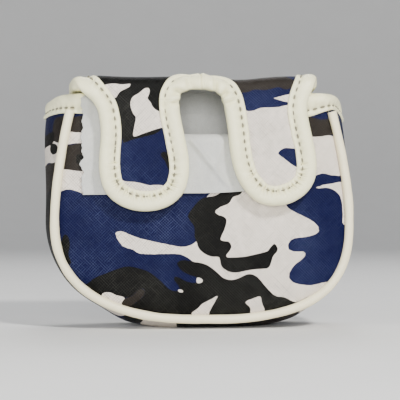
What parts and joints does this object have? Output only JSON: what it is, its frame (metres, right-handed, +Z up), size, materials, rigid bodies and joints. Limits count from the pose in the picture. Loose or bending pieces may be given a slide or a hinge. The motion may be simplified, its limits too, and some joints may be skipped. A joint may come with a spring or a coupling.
{
  "type": "mallet putter head cover",
  "caption": "Padded D-shaped pouch in camouflage synthetic leather with white binding; a flap folds over the mouth and closes with tongues on hook and loop tape.",
  "frame": {"origin": "on the floor, under the middle of the pouch, midway between the planes of the two piped seams", "axes": "+X to the right as seen from the front, +Y from the front panel to the back panel, +Z up to the flap"},
  "size_m": [0.143, 0.058, 0.118],
  "materials": {
    "camouflage_leather": "cross-hatch embossed synthetic leather printed in blue, black, brown and off-white, satin",
    "foam": "thin open-cell foam padding",
    "lining": "brushed loop-pile lining",
    "binding": "smooth off-white synthetic leather tape, satin",
    "piping": "smooth off-white synthetic leather strip over a cord, satin",
    "piping_cord": "twisted filler cord",
    "loop_tape": "pale grey loop-pile fastener field",
    "hook_tape": "white hook tape",
    "thread": "cream polyester thread"
  },
  "bodies": {
    "pouch": {"front_panel": "camouflage_leather", "front_panel_padding": "foam", "front_panel_lining": "lining", "back_panel": "camouflage_leather", "back_panel_padding": "foam", "back_panel_lining": "lining", "gusset": "camouflage_leather", "gusset_padding": "foam", "gusset_lining": "lining", "front_piping": "piping", "front_piping_cord": "piping_cord", "back_piping": "piping", "back_piping_cord": "piping_cord", "mouth_binding_left": "binding", "mouth_binding_right": "binding", "mouth_thread_left": "thread", "mouth_thread_right": "thread", "loop_patch": "loop_tape", "neck_binding_left": "binding", "neck_binding_right": "binding"},
    "flap": {"face_flap": "camouflage_leather", "face_flap_padding": "foam", "face_flap_lining": "lining", "face_binding_left": "binding", "face_binding_right": "binding", "notch_binding": "binding"},
    "left_tongue": {"tongue_left": "camouflage_leather", "tongue_left_padding": "foam", "tongue_left_lining": "lining", "hook_patch_left": "hook_tape", "tongue_binding_left": "binding", "tongue_thread_left": "thread"},
    "right_tongue": {"tongue_right": "camouflage_leather", "tongue_right_padding": "foam", "tongue_right_lining": "lining", "hook_patch_right": "hook_tape", "tongue_binding_right": "binding", "tongue_thread_right": "thread"}
  },
  "joints": [
    {"name": "flap_fold", "type": "hinge", "parent": "pouch", "child": "flap", "pos_m": [0, 0.0242, 0.11165], "axis": [-1, 0, 0], "range_deg": [0, 150]},
    {"name": "left_tongue_fold", "type": "hinge", "parent": "flap", "child": "left_tongue", "pos_m": [-0.0298, -0.0341, 0.11165], "axis": [-1, 0, 0], "range_deg": [0, 120]},
    {"name": "right_tongue_fold", "type": "hinge", "parent": "flap", "child": "right_tongue", "pos_m": [0.0298, -0.0341, 0.11165], "axis": [-1, 0, 0], "range_deg": [0, 120]}
  ]
}
